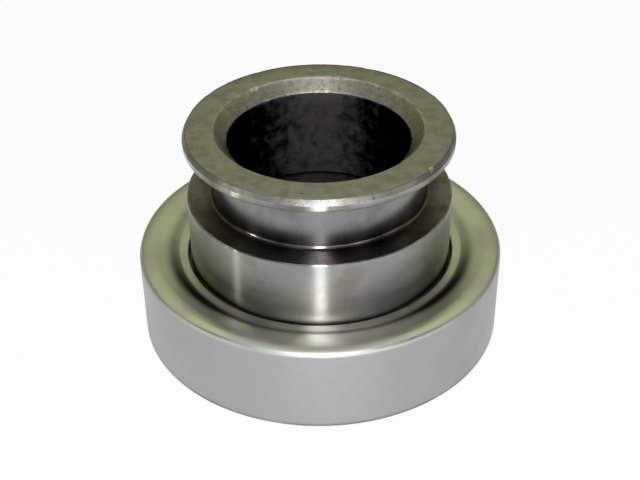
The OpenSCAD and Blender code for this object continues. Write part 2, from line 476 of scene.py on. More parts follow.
# Its grime colour paints the shade on the shoulder's sides and in the gap
GROUND_LAND = MetalFinish(
    "ground_shoulder", (0.325, 0.315, 0.30), (0.235, 0.22, 0.20),
    roughness=0.22, roughness_spread=0.05, anisotropy=1.0, stain_cover=0.3, stain_per_mm=0.12,
    mark_pitch=1.4, mark_contrast=0.1, grain_contrast=0.03, relief=0.001, grime_and_shade=(0.022, 0.021, 0.012),
)
GROOVE_FACE = MetalFinish(
    "oiled_groove_face", (0.19, 0.17, 0.155), (0.11, 0.095, 0.085),
    lay=Lay.FACED, roughness=0.24, roughness_spread=0.08, stain_cover=0.4, mark_contrast=0.15, relief=0.004,
)
NECK = MetalFinish(
    "turned_neck", (0.25, 0.243, 0.245), (0.165, 0.157, 0.157),
    roughness=0.2, roughness_spread=0.06, anisotropy=0.7, stain_cover=0.3, stain_per_mm=0.16,
    mark_contrast=0.05, grain_contrast=0.05, relief=0.002,
)
# Its bright colour also paints the highlight on the rim's left side
FLANGE_EDGE = MetalFinish(
    "turned_flange_edge", (0.33, 0.32, 0.30), (0.25, 0.235, 0.205),
    roughness=0.27, anisotropy=1.0, stain_cover=0.25,
)
# Its bright colour also paints the highlight on the front of the bevel
FLANGE_BEVEL = MetalFinish(
    "turned_flange_bevel", (0.18, 0.172, 0.145), (0.12, 0.11, 0.09),
    roughness=0.42, stain_cover=0.4, mark_contrast=0.1, pit_cover=0.35, relief=0.012,
    bright=(0.34, 0.335, 0.32),
)
FLANGE_FACE = MetalFinish(
    "faced_flange", (0.306, 0.295, 0.248), (0.232, 0.219, 0.178),
    lay=Lay.FACED, roughness=0.52, stain_cover=0.3, stain_per_mm=0.4, stain_edge=0.17,
    mark_pitch=0.9, mark_contrast=0.06, grain_contrast=0.1, pit_cover=0.3, relief=0.004,
)
# Its bright colour also paints the light on the back of the mouth
MOUTH_CHAMFER = MetalFinish(
    "mouth_chamfer", (0.29, 0.275, 0.228), (0.205, 0.186, 0.142),
    lay=Lay.FACED, roughness=0.45, roughness_spread=0.15, stain_cover=0.4, stain_per_mm=0.8,
    mark_contrast=0.15, grain_contrast=0.2, pit_cover=0.5, pit_per_mm=1.3, relief=0.02,
    bright=(0.50, 0.455, 0.35), grime_and_shade=(0.022, 0.021, 0.010),
)
# Near-black and without gloss: painted shade inside the bore, partly oil; its bright colour, laid on by the
# rubbed patches, paints the lit far wall
BORE = MetalFinish(
    "oiled_bore_painted_shade", (0.001, 0.0008, 0.0012), (0.0006, 0.0004, 0.0005),
    roughness=0.55, metallic=0.0, specular=0.0, stain_cover=0.5, stain_per_mm=0.7, relief=0.008,
    wear_per_mm=0.5, wear_break=1.1, bright=(0.066, 0.056, 0.061), grime_and_shade=(0.004, 0.003, 0.004),
)
SHEET_SIDE = MetalFinish(
    "plated_sheet_side", (0.362, 0.364, 0.36), (0.336, 0.341, 0.331),
    lay=Lay.CLOUDED, roughness=0.46, stain_cover=0.3, stain_per_mm=0.06, mark_contrast=0.02,
    grain_contrast=0.02, pit_cover=0.05, pit_per_mm=0.7, relief=0.001,
)
# Its grime colour paints the shade in the step
SHEET_FACE = replace(
    SHEET_SIDE, name="plated_sheet_face", colour=(0.53, 0.55, 0.45), stain=(0.485, 0.45, 0.42),
    roughness=0.36, stain_cover=0.45, stain_per_mm=0.09, grime_and_shade=(0.022, 0.018, 0.011),
)
# Dark so that the ring seen through the gap stays in painted shade, partly grease
RACE_GREASE_AND_SHADE = MetalFinish(
    "race_grease_and_painted_shade", (0.14, 0.12, 0.095), (0.07, 0.055, 0.04),
    roughness=0.5, metallic=0.3, specular=0.2, stain_cover=0.5,
)
GROUND_RACE = MetalFinish(
    "ground_race", (0.44, 0.44, 0.43), (0.36, 0.35, 0.33),
    lay=Lay.FACED, roughness=0.28, stain_cover=0.15, mark_pitch=0.6, mark_contrast=0.2, relief=0.001,
)
LAPPED_BALL = MetalFinish(
    "lapped_ball", (0.62, 0.62, 0.63), (0.55, 0.54, 0.52),
    lay=Lay.CLOUDED, roughness=0.1, roughness_spread=0.04, stain_cover=0.15, mark_contrast=0.02,
    relief=0.0003,
)
CAGE_PLASTIC = MouldedFinish("moulded_cage", (0.30, 0.16, 0.07), (0.22, 0.11, 0.05), 0.5, 2.0, 0.004)
SEAL_RUBBER = MouldedFinish("seal_rubber", (0.030, 0.030, 0.032), (0.045, 0.044, 0.044), 0.65, 4.0, 0.006)


@dataclass(frozen=True)
class Corner:
    """One corner of an outline that is turned round the axis, and the surface that follows it.

    Attributes:
        radius: Distance from the axis, mm.
        height: Height above the contact face, mm.
        finish: Finish of the surface from this corner to the next.
        round_off: Radius of the rounded corner, mm.
        wear_and_highlight: How bright the edge is rubbed, 0 to 1.
        grime_and_shade: How much dirt and painted shade lie in the corner, 0 to 1.
        grime_and_shade_reach: How far the dirt and painted shade spread from the corner, mm.
        ragged: Depth of the small knocks that lie along the edge, mm.
        name: Name of the edge, where a knock or a patch needs one.
    """

    radius: float
    height: float
    finish: MetalFinish
    round_off: float = 0.1
    wear_and_highlight: float = 0.0
    grime_and_shade: float = 0.0
    grime_and_shade_reach: float = 0.8
    ragged: float = 0.0
    name: str = ""


@dataclass(frozen=True)
class Nick:
    """One larger knock in an edge.

    Attributes:
        edge: Name of the corner that it is in.
        azimuth: Place round the axis, degrees from +X.
        width: Half its width round the edge, mm.
        reach: How far it reaches from the edge, mm.
        depth: Its depth, mm.
    """

    edge: str
    azimuth: float
    width: float
    reach: float
    depth: float


@dataclass(frozen=True)
class Patch:
    """One place with wear, dirt, a painted highlight or painted shade.

    Attributes:
        edge: Name of the corner that it lies at, or at which its wall starts.
        azimuth: Its middle, degrees from +X.
        spread: Half its width, degrees.
        mark: Whether it is wear with painted highlight, or grime with painted shade.
        strength: How strong it is at its middle, 0 to 1.
        reach: How far it reaches from the corner, mm, or 0 for the whole wall that starts there.
    """

    edge: str
    azimuth: float
    spread: float
    mark: Mark = Mark.WEAR_AND_HIGHLIGHT
    strength: float = 1.0
    reach: float = 0.0


def turn_from(azimuth: np.ndarray, place: float | np.ndarray) -> np.ndarray:
    """Angles from a place round the axis, within half a turn to either side."""
    return (azimuth - place + math.pi) % FULL_TURN - math.pi


def fade(distance: np.ndarray, reach: float | np.ndarray) -> np.ndarray:
    """1 at no distance, and less and less over a reach."""
    return np.exp(-((distance / reach) ** 2))


@dataclass
class Turning:
    """A closed outline turned round the axis into a fine mesh.

    Attributes:
        name: Name of the piece.
        corners: Corners of the outline, in the order that keeps the metal on the left.
        nicks: Larger knocks in its edges.
        patches: Rubbed and dirty places, and places of painted highlight and painted shade.
        segments: Steps round the axis.
        longest_step: Longest step along the outline, mm.
        waviness: Depth of the slow waves that forming leaves in sheet, mm.
        seed: Seed of the small irregularities.
    """

    name: str
    corners: list[Corner]
    nicks: list[Nick] = field(default_factory=list)
    patches: list[Patch] = field(default_factory=list)
    segments: int = 540
    longest_step: float = 2.5
    waviness: float = 0.0
    seed: int = 1

    # Distances from a corner at which the outline gets a point of its own, mm
    GRADES = (0.15, 0.5)
    # How many times such a distance a stretch is long, at least, to get that point at both ends
    GRADE_ROOM = 2.2
    # How far wear and knocks reach from an edge, and the longest step along a rounded corner, mm
    WEAR_REACH = 0.28
    ROUND_STEP = 0.45
    # Largest turn between two points of a small and of a large round, degrees, and what is large, mm
    SMALL_TURN, LARGE_TURN = 30, 8
    LARGE_ROUND = 0.5
    # Small knocks along one edge, and the range of half their widths, mm
    KNOCKS = 60
    KNOCK_WIDTH = (0.25, 0.9)
    # Mean and swing of the wear and of the dirt and painted shade round the axis, and how many waves they go
    # in
    UNEVEN_MEAN, UNEVEN_SWING = 0.75, 0.35
    UNEVEN_WAVES = (4, 40)
    # The slow waves in sheet: how many, how far they swing, and how they lean up the axis
    SLOW_WAVES = (2, 9)
    SLOW_SWING = 0.5
    LEAN_WAVES = (1, 5)
    LEAN_SWING = 2
    LEAN_PER_MM = 0.35
    # Below this cosine of half its angle a corner is straight, and only divides two finishes
    STRAIGHT = 1e-4

    def build(self) -> bpy.types.Object:
        """Makes the mesh.

        Returns:
            The new object, in the part's own frame.
        """
        points, owner = self._outline()
        walls = np.array(owner)
        steps = np.linalg.norm(np.roll(points, -1, axis=0) - points, axis=1)
        along = np.concatenate([[0.0], np.cumsum(steps)[:-1]])
        near = self._distances(along, steps.sum())
        normals = self._normals(points)
        azimuth = np.arange(self.segments) * FULL_TURN / self.segments
        sunk, wear_and_highlight, grime_and_shade = self._irregularities(points, near, azimuth)
        wear_and_highlight = np.clip(wear_and_highlight + self._patched(Mark.WEAR_AND_HIGHLIGHT, near, walls, azimuth), 0, 1)
        grime_and_shade = np.clip(grime_and_shade + self._patched(Mark.GRIME, near, walls, azimuth), 0, 1)

        radius = points[:, 0, None] - sunk * normals[:, 0, None]
        height = points[:, 1, None] - sunk * normals[:, 1, None]
        verts = np.stack([radius * np.cos(azimuth), radius * np.sin(azimuth), height], axis=-1)
        rings = len(points)
        ring, step = np.meshgrid(np.arange(rings), np.arange(self.segments), indexing="ij")
        next_ring = (ring + 1) % rings * self.segments
        next_step = (step + 1) % self.segments
        here = ring * self.segments
        faces = np.stack([here + step, here + next_step, next_ring + next_step, next_ring + step], axis=-1)

        mesh = bpy.data.meshes.new(self.name)
        mesh.from_pydata((verts.reshape(-1, 3) * MM).tolist(), [], faces.reshape(-1, 4).tolist())
        finishes = list(dict.fromkeys(corner.finish for corner in self.corners))
        for finish in finishes:
            mesh.materials.append(finish.material())
        slots = np.array([finishes.index(self.corners[i].finish) for i in owner], dtype=np.int32)
        mesh.polygons.foreach_set("material_index", np.repeat(slots, self.segments))
        for mark, values in ((Mark.WEAR_AND_HIGHLIGHT, wear_and_highlight), (Mark.GRIME, grime_and_shade)):
            layer = mesh.attributes.new(mark.value, "FLOAT", "POINT")
            layer.data.foreach_set("value", values.astype(np.float32).ravel())
        mesh.shade_smooth()
        mesh.update()
        return new_object(self.name, mesh)

    def _outline(self) -> tuple[np.ndarray, list[int]]:
        """Points of the outline with its corners rounded.

        Returns:
            The points as radius and height, and for the stretch after each the number of its corner.
        """
        arcs = [self._arc(i) for i in range(len(self.corners))]
        points: list[np.ndarray] = []
        owner: list[int] = []
        for i, arc in enumerate(arcs):
            before = (i - 1) % len(self.corners)
            half = len(arc) // 2
            points.extend(arc)
            owner.extend([before] * half + [i] * (len(arc) - half))
            start, end = arc[-1], arcs[(i + 1) % len(arcs)][0]
            for share in self._shares(float(np.linalg.norm(end - start))):
                points.append(start + (end - start) * share)
                owner.append(i)
        return np.array(points), owner

    def _arc(self, i: int) -> list[np.ndarray]:
        """Points of one rounded corner.

        Args:
            i: Number of the corner.

        Returns:
            Its points as radius and height, or one point where the outline goes straight on.
        """
        around = [self.corners[j % len(self.corners)] for j in (i, i - 1, i + 1)]
        here, before, after = (np.array([corner.radius, corner.height]) for corner in around)
        back = (before - here) / np.linalg.norm(before - here)
        ahead = (after - here) / np.linalg.norm(after - here)
        half = math.acos(float(np.clip(back @ ahead, -1, 1))) / 2
        if math.cos(half) < self.STRAIGHT:
            return [here]
        rounding = self.corners[i].round_off
        middle = here + (back + ahead) / np.linalg.norm(back + ahead) * rounding / math.sin(half)
        first = here + back * rounding / math.tan(half) - middle
        last = here + ahead * rounding / math.tan(half) - middle
        turn = math.atan2(first[0] * last[1] - first[1] * last[0], first @ last)
        largest = math.radians(self.LARGE_TURN if rounding > self.LARGE_ROUND else self.SMALL_TURN)
        steps = max(2, math.ceil(abs(turn) / largest), math.ceil(abs(turn) * rounding / self.ROUND_STEP))
        angles = [turn * k / steps for k in range(steps + 1)]
        aside = np.array([-first[1], first[0]])
        return [middle + (first * math.cos(angle) + aside * math.sin(angle)) for angle in angles]

    def _shares(self, length: float) -> list[float]:
        """Places of the points along a straight stretch.

        Args:
            length: Length of the stretch, mm.

        Returns:
            The places as shares of the length, closer together at its ends.
        """
        ends = [grade for grade in self.GRADES if grade < length / self.GRADE_ROOM]
        inner = length - 2 * ends[-1] if ends else length
        count = math.ceil(inner / self.longest_step)
        first = ends[-1] if ends else 0.0
        middle = [first + inner * k / count for k in range(1, count)]
        places = ends + middle + [length - grade for grade in reversed(ends)]
        return [place / length for place in places]

    def _distances(self, along: np.ndarray, total: float) -> np.ndarray:
        """Distance of each point of the outline from each corner's arc.

        Args:
            along: Length along the outline at each point, mm.
            total: Length of the whole outline, mm.

        Returns:
            Distances in mm, one row for each corner.
        """
        rows = []
        index = 0
        for i in range(len(self.corners)):
            arc = len(self._arc(i))
            start, end = along[index], along[index + arc - 1]
            gap = np.abs(along - (start + end) / 2)
            rows.append(np.maximum(0, np.minimum(gap, total - gap) - (end - start) / 2))
            nxt = self._arc((i + 1) % len(self.corners))[0]
            index += arc + len(self._shares(float(np.linalg.norm(nxt - self._arc(i)[-1]))))
        return np.array(rows)

    @staticmethod
    def _normals(points: np.ndarray) -> np.ndarray:
        """Outward directions at the points of the outline.

        Args:
            points: Points of the outline, mm.

        Returns:
            One unit vector for each point.
        """
        tangent = np.roll(points, -1, axis=0) - np.roll(points, 1, axis=0)
        tangent /= np.linalg.norm(tangent, axis=1)[:, None]
        return np.stack([tangent[:, 1], -tangent[:, 0]], axis=-1)

    def _number(self, edge: str) -> int:
        """Number of the corner with a name."""
        return [corner.name for corner in self.corners].index(edge)

    def _irregularities(
        self, points: np.ndarray, near: np.ndarray, azimuth: np.ndarray
    ) -> tuple[np.ndarray, np.ndarray, np.ndarray]:
        """Knocks, waves, wear, dirt and painted shade over the surface.

        Args:
            points: Points of the outline, mm.
            near: Distance of each point from each corner, mm.
            azimuth: Angles of the steps round the axis.

        Returns:
            How far each point sinks in, mm, its wear and its grime with painted shade.
        """
        rng = np.random.default_rng(self.seed)
        shape = (len(points), self.segments)
        sunk, wear_and_highlight, grime_and_shade = np.zeros(shape), np.zeros(shape), np.zeros(shape)
        for corner, gap in zip(self.corners, near):
            at_edge = fade(gap, self.WEAR_REACH)[:, None]
            knocks = self._knocks(rng, corner.radius, azimuth)
            uneven = self.UNEVEN_MEAN + self.UNEVEN_SWING * self._ripple(rng, azimuth, *self.UNEVEN_WAVES)
            sunk += corner.ragged * at_edge * knocks
            wear_and_highlight += corner.wear_and_highlight * at_edge * uneven
            grime_and_shade += corner.grime_and_shade * fade(gap, corner.grime_and_shade_reach)[:, None] * uneven
        for nick in self.nicks:
            number = self._number(nick.edge)
            round_edge = turn_from(azimuth, math.radians(nick.azimuth)) * self.corners[number].radius
            dent = fade(near[number], nick.reach)[:, None] * fade(round_edge, nick.width)
            sunk += nick.depth * dent
            wear_and_highlight += dent
        if self.waviness:
            slow = self._ripple(rng, azimuth, *self.SLOW_WAVES)
            lean = self._ripple(rng, azimuth, *self.LEAN_WAVES) * self.LEAN_SWING
            swing = self.SLOW_SWING * slow * np.cos(points[:, 1, None] * self.LEAN_PER_MM + lean)
            sunk += self.waviness * (1 + swing)
        return sunk, np.clip(wear_and_highlight, 0, 1), np.clip(grime_and_shade, 0, 1)

    def _patched(self, mark: Mark, near: np.ndarray, walls: np.ndarray, azimuth: np.ndarray) -> np.ndarray:
        """Wear with painted highlight, or grime with painted shade, of the patches.

        Args:
            mark: Which of the two.
            near: Distance of each point of the outline from each corner, mm.
            walls: Number of the corner that owns each point of the outline.
            azimuth: Angles of the steps round the axis.

        Returns:
            The sum for each point of the mesh.
        """
        total = np.zeros((len(walls), self.segments))
        for patch in self.patches:
            if patch.mark is not mark:
                continue
            number = self._number(patch.edge)
            along = fade(near[number], patch.reach) if patch.reach else walls == number
            turn = turn_from(azimuth, math.radians(patch.azimuth))
            total += patch.strength * along[:, None] * fade(turn, math.radians(patch.spread))
        return total

    def _knocks(self, rng: np.random.Generator, radius: float, azimuth: np.ndarray) -> np.ndarray:
        """Small knocks round one edge.

        Args:
            rng: Source of the random draws.
            radius: Radius of the edge, mm.
            azimuth: Angles of the steps round the axis.

        Returns:
            Their depth at each step, from 0 to about 1.
        """
        places = rng.uniform(0, FULL_TURN, self.KNOCKS)
        widths = rng.uniform(*self.KNOCK_WIDTH, self.KNOCKS)
        depths = rng.uniform(0, 1, self.KNOCKS) ** 2
        turn = turn_from(azimuth[None, :], places[:, None])
        return (depths[:, None] * fade(turn * radius, widths[:, None])).max(axis=0)

    @staticmethod
    def _ripple(rng: np.random.Generator, azimuth: np.ndarray, lowest: int, highest: int) -> np.ndarray:
        """A closed wavy line round the axis.

        Args:
            rng: Source of the random draws.
            azimuth: Angles of the steps round the axis.
            lowest: Smallest number of waves in a turn.
            highest: Largest number of waves in a turn.

        Returns:
            The line, between -1 and 1.
        """
        total = np.zeros_like(azimuth)
        for waves in range(lowest, highest + 1):
            total += np.cos(waves * azimuth + rng.uniform(0, FULL_TURN)) / math.sqrt(waves)
        return total / np.abs(total).max()


def height_range(node: str) -> tuple[float, float]:
    """Lowest and highest point of a solid in mm."""
    low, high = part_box(node)
    return low.z / MM, high.z / MM


def outer_radius(node: str) -> float:
    """Largest distance of a solid from the axis in mm."""
    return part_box(node)[1].x / MM


@dataclass
class GuideSleeve:
    """Sleeve that slides on the guide tube: flange, fork groove, shoulder, spigot and bore in one piece.

    Attributes:
        bore: Radius of the bore, mm.
        neck_wall: Wall at the bottom of the fork groove.
        spigot_wall: Wall of the spigot.
        flange_rise: Height of the flange's edge above the neck.
        shoulder_rise: Height of the shoulder's edge above the neck.
        flange_thickness: Thickness of the flange.
        groove_width: Width of the fork groove.
        groove_fillet: Round in the inner corners of the groove.
        bevel_height: Height of the bevel on the flange.
        bevel_inset: Inset of the bevel on the flange.
        mouth_chamfer: Chamfer at the upper mouth of the bore.
        end_chamfer: Chamfer at the lower end of the bore.
        shoulder_chamfer: Chamfer on the shoulder's upper edge.
        spigot_chamfer: Chamfer on the spigot's lower edge.
        lower_land: Length of the guide land below the grease recess.
        recess_length: Length of the grease recess.
        recess_depth: Depth of the grease recess.
        gap_depth: Depth below the shell's ledge at which grease and painted gap shade cover the shoulder.
        seed: Seed of the small irregularities.
    """

    bore: float = 17.5
    neck_wall: float = 3.1
    spigot_wall: float = 3.0
    flange_rise: float = 5.2
    shoulder_rise: float = 5.1
    flange_thickness: float = 2.4
    groove_width: float = 11.3
    groove_fillet: float = 0.7
    bevel_height: float = 1.1
    bevel_inset: float = 0.55
    mouth_chamfer: float = 2.35
    end_chamfer: float = 0.8
    shoulder_chamfer: float = 0.2
    spigot_chamfer: float = 0.4
    lower_land: float = 9.5
    recess_length: float = 12.75
    recess_depth: float = 0.8
    gap_depth: float = 0.25
    seed: int = 7

    def build(self) -> bpy.types.Object:
        """Makes the dressed sleeve in place of its solid.

        Returns:
            The new piece.
        """
        turning = Turning("guide_sleeve", self._corners(), self._nicks(), self._patches(), seed=self.seed)
        piece = turning.build()
        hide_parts("sleeve")
        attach(piece, "sleeve")
        return piece

    def shoulder(self) -> float:
        """Radius of the shoulder, mm."""
        return self.bore + self.neck_wall + self.shoulder_rise

    def _corners(self) -> list[Corner]:
        """Outline of the sleeve.

        Returns:
            Its corners from the lower end outward, up the outside and down the bore.
        """
        end, top = height_range("sleeve")
        seat = height_range("inner_ring")[1]
        ledge = DrawnShell().ledge()
        shoulder = self.shoulder()
        neck = self.bore + self.neck_wall
        flange = neck + self.flange_rise
        bevel = top - self.bevel_height
        face_rim = flange - self.bevel_inset
        spigot = self.bore + self.spigot_wall
        flange_low = top - self.flange_thickness
        groove_low = flange_low - self.groove_width
        cut = self.shoulder_chamfer
        mouth = self.bore + self.mouth_chamfer
        mouth_low = top - self.mouth_chamfer
        recess = self.bore + self.recess_depth
        recess_low = end + self.lower_land
        recess_top = recess_low + self.recess_length
        return [
            Corner(self.bore + self.end_chamfer, end, HIDDEN_TURNING),
            Corner(spigot - self.spigot_chamfer, end, HIDDEN_TURNING),
            Corner(spigot, end + self.spigot_chamfer, HIDDEN_TURNING),
            Corner(spigot, seat, HIDDEN_TURNING, round_off=0.2),
            # Below the shell's ledge the shoulder is painted in the gap's shade
            Corner(shoulder, seat, GAP_GREASE_AND_SHADE, round_off=0.2),
            Corner(shoulder, ledge - self.gap_depth, GROUND_LAND, name="land"),
            Corner(shoulder, groove_low - cut, GROUND_LAND, round_off=0.08, wear_and_highlight=0.2, ragged=0.05),
            Corner(shoulder - cut, groove_low, GROOVE_FACE, round_off=0.08, wear_and_highlight=0.3, ragged=0.08),
            # Dark in the groove's lower corner: dirt and painted shade; painted shade under the flange in
            # the corner above
            Corner(neck, groove_low, NECK, self.groove_fillet, grime_and_shade=0.9, grime_and_shade_reach=2.2, name="neck"),
            Corner(neck, flange_low, GROOVE_FACE, self.groove_fillet, grime_and_shade=0.5),
            # Its grime is a painted shadow line under the rim
            Corner(
                flange, flange_low, FLANGE_EDGE,
                round_off=0.3, wear_and_highlight=0.2, grime_and_shade=0.4, grime_and_shade_reach=0.25, ragged=0.1, name="rim",
            ),
            Corner(flange, bevel, FLANGE_BEVEL, round_off=0.15, wear_and_highlight=0.2, ragged=0.05, name="bevel"),
            Corner(face_rim, top, FLANGE_FACE, round_off=0.2, wear_and_highlight=0.12, ragged=0.08, name="flange"),
            Corner(mouth, top, MOUTH_CHAMFER, round_off=0.3, wear_and_highlight=0.5, ragged=0.15, name="mouth"),
            Corner(self.bore, mouth_low, BORE, round_off=0.15, wear_and_highlight=0.3, ragged=0.1, name="bore"),
            Corner(self.bore, recess_top, BORE),
            # The dark line at the recess's upper corner is painted shadow under the bore's lip
            Corner(recess, recess_top - self.recess_depth, BORE, grime_and_shade=0.9, grime_and_shade_reach=0.5, name="recess"),
            Corner(recess, recess_low + self.recess_depth, BORE, grime_and_shade=0.3),
            Corner(self.bore, recess_low, BORE),
            Corner(self.bore, end + self.end_chamfer, HIDDEN_TURNING),
        ]

    def _nicks(self) -> list[Nick]:
        """Knocks at the mouth of the bore and on the flange.

        Returns:
            The knocks.
        """
        return [
            Nick("mouth", 129.0, 0.45, 0.45, 0.2),
            Nick("mouth", 132.0, 0.3, 0.3, 0.12),
            Nick("bore", 126.0, 0.5, 0.3, 0.12),
            Nick("mouth", 84.0, 0.5, 0.4, 0.12),
            Nick("mouth", 78.0, 0.35, 0.4, 0.14),
            Nick("flange", 322.0, 0.6, 0.3, 0.1),
        ]

    def _patches(self) -> list[Patch]:
        """Bright places that the guide tube and the fork have rubbed, with painted highlights and a painted
        lit wall in the bore, and places of dirt and painted shade.

        Returns:
            The patches.
        """
        walls = ("bore", "recess")
        sides = (90.0, 270.0)
        # At the back and front of the bore and recess: rub of the guide tube, and painted light where the
        # far wall is lit
        rubbed_and_lit = [Patch(wall, azimuth, 38.0, strength=0.7) for wall in walls for azimuth in sides]
        return rubbed_and_lit + [
            # Painted light on the back of the mouth chamfer, partly rub; painted highlights on the front of
            # the bevel and on the rim's left side
            Patch("mouth", 90.0, 38.0, strength=0.32),
            Patch("bevel", 272.0, 20.0, strength=0.45),
            Patch("rim", 193.0, 14.0),
            # Painted shade on the neck at the left and right
            Patch("neck", 200.0, 20.0, Mark.GRIME, 0.7),
            Patch("neck", 342.0, 14.0, Mark.GRIME, 0.7),
            Patch("flange", 90.0, 60.0, Mark.GRIME, 1.0, 0.4),
            # Painted shade on the upper bore at the front left and right
            Patch("bore", 206.0, 18.0, Mark.GRIME, 0.9, 1.5),
            Patch("bore", 333.0, 18.0, Mark.GRIME, 0.95, 2.2),
            # Painted shade: the black gap under the land at the left and right, the darker land at its front
            # left and right, and its darker far sides
            Patch("land", 203.0, 28.0, Mark.GRIME, 1.0, 0.45),
            Patch("land", 338.0, 28.0, Mark.GRIME, 1.0, 0.4),
            Patch("land", 212.0, 24.0, Mark.GRIME, 0.95, 2.4),
            Patch("land", 328.0, 24.0, Mark.GRIME, 0.95, 2.4),
            Patch("land", 212.0, 14.0, Mark.GRIME, 0.2),
            Patch("land", 326.0, 13.0, Mark.GRIME, 0.3),
            Patch("land", 180.0, 30.0, Mark.GRIME, 0.2),
            Patch("land", 0.0, 30.0, Mark.GRIME, 0.22),
        ]


@dataclass
class DrawnShell:
    """Sheet drawn over the outer ring: side, stepped face and the crimped lip below.

    Attributes:
        sheet: Thickness of the sheet, mm.
        corner_round: Outside radius of the drawn corner.
        crimp_round: Outside radius of the crimped corner.
        crimp_width: Width of the crimped lip.
        lip_round: Round on the edges of the crimped lip.
        face_dish: Rise of the face from the step to its crest.
        crest_inset: Distance of the crest from the outside of the shell.
        crest_blend: Reach of the soft bend at the crest, to each side.
        crest_fall: Fall of the face from its crest to the bend that eases it into the corner.
        ease_inset: Distance of that bend from the outside of the shell.
        ease_fall: Fall of the face from that bend to the drawn corner.
        ease_round: Radius of that bend.
        ledge_drop: Height of the step.
        step_run: Radial run of the step.
        step_blend: Reach of the soft bend on top of the step, to each side.
        step_fillet: Round in the inner corner at the foot of the step.
        step_inset: Distance of the step from the outside of the shell.
        opening_round: Round on the edge of the opening.
        grease_and_shade_depth: Depth below the ledge at which grease and painted gap shade cover the
            opening.
        rim_gap: Gap between the opening and the sleeve's shoulder.
        face_gap: Gap between the face and the outer ring.
        waviness: Depth of the slow waves that forming has left.
        seed: Seed of the small irregularities.
    """

    sheet: float = 1.2
    corner_round: float = 1.2
    crimp_round: float = 0.6
    crimp_width: float = 2.0
    lip_round: float = 0.15
    face_dish: float = 0.5
    crest_inset: float = 2.8
    crest_blend: float = 0.7
    crest_fall: float = 0.1
    ease_inset: float = 1.6
    ease_fall: float = 0.42
    ease_round: float = 2.5
    ledge_drop: float = 1.05
    step_run: float = 2.4
    step_blend: float = 0.8
    step_fillet: float = 1.0
    step_inset: float = 5.466
    opening_round: float = 0.3
    grease_and_shade_depth: float = 0.35
    rim_gap: float = 0.45
    face_gap: float = 0.3
    waviness: float = 0.012
    seed: int = 3

    def build(self) -> bpy.types.Object:
        """Makes the dressed shell in place of its solid.

        Returns:
            The new piece.
        """
        turning = Turning(
            "drawn_shell", self._corners(), patches=self._patches(), waviness=self.waviness, seed=self.seed
        )
        piece = turning.build()
        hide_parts("shell")
        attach(piece, "race")
        return piece

    def face(self) -> float:
        """Height of the face at the step, mm."""
        return height_range("outer_ring")[1] + self.face_gap + self.sheet

    def ledge(self) -> float:
        """Height of the ledge inside the step, mm."""
        return self.face() - self.ledge_drop

    def _corners(self) -> list[Corner]:
        """Outline of the shell.

        Returns:
            Its corners from the crimped lip outward, up the side, in over the face and back underneath.
        """
        low = height_range("shell")[0]
        outside = outer_radius("shell")
        inside = outside - self.sheet
        lip = inside - self.crimp_width
        opening = GuideSleeve().shoulder() + self.rim_gap
        ledge = self.ledge()
        crest = (outside - self.crest_inset, self.face() + self.face_dish)
        ease = (outside - self.ease_inset, crest[1] - self.crest_fall)
        step_out = (outside - self.step_inset, self.face())
        step_in = (step_out[0] - self.step_run, ledge)
        mid_step = ((step_in[0] + step_out[0]) / 2, (step_in[1] + step_out[1]) / 2)
        face_slope = math.atan2(crest[1] - step_out[1], crest[0] - step_out[0])
        step_slope = math.atan2(self.ledge_drop, self.step_run)
        fall_slope = math.atan2(self.crest_fall, ease[0] - crest[0])
        crest_round = self.crest_blend / math.tan((face_slope + fall_slope) / 2)
        step_round = self.step_blend / math.tan((step_slope - face_slope) / 2)
        return [
            Corner(lip, low, SHEET_SIDE, self.lip_round),
            # Its grime is painted shade along the lower edge
            Corner(outside, low, SHEET_SIDE, self.crimp_round, grime_and_shade=0.5, grime_and_shade_reach=0.3),
            Corner(outside, ease[1] - self.ease_fall, SHEET_FACE, self.corner_round),
            Corner(*ease, SHEET_FACE, self.ease_round),
            Corner(*crest, SHEET_FACE, crest_round),
            Corner(*step_out, SHEET_FACE, step_round),
            # Painted shade along the step
            Corner(*mid_step, SHEET_FACE, grime_and_shade=0.3, name="step"),
            Corner(*step_in, SHEET_FACE, self.step_fillet),
            Corner(opening, ledge, SHEET_FACE, self.opening_round),
            # Below the ledge the opening is painted in the gap's shade
            Corner(opening, ledge - self.grease_and_shade_depth, GAP_GREASE_AND_SHADE),
            Corner(opening, ledge - self.sheet, GAP_GREASE_AND_SHADE),
            Corner(*self._under(step_in, 0.0, step_slope), SHEET_FACE),
            Corner(*self._under(step_out, step_slope, face_slope), SHEET_FACE),
            Corner(*self._under(crest, face_slope, 0.0), SHEET_FACE),
            Corner(inside, crest[1] - self.sheet, SHEET_SIDE),
            Corner(inside, low + self.sheet, SHEET_SIDE),
            Corner(lip, low + self.sheet, SHEET_SIDE, self.lip_round),
        ]

    def _patches(self) -> list[Patch]:
        """Painted shade in the step, strongest at the front left and right and weaker at the front."""
        sides = [Patch("step", azimuth, 25.0, Mark.GRIME, 1.0, 1.3) for azimuth in (220.0, 319.0)]
        return sides + [Patch("step", 270.0, 22.0, Mark.GRIME, 0.35, 0.8)]

    def _under(self, bend: tuple[float, float], before: float, after: float) -> tuple[float, float]:
        """Underside of the sheet at a bend.

        Args:
            bend: Radius and height of the bend on the upper side, mm.
            before: Slope of the sheet inside the bend.
            after: Slope of the sheet outside the bend.

        Returns:
            Radius and height of the bend on the lower side.
        """
        reach = self.sheet / math.cos((before - after) / 2)
        lean = (before + after) / 2
        return bend[0] + reach * math.sin(lean), bend[1] - reach * math.cos(lean)


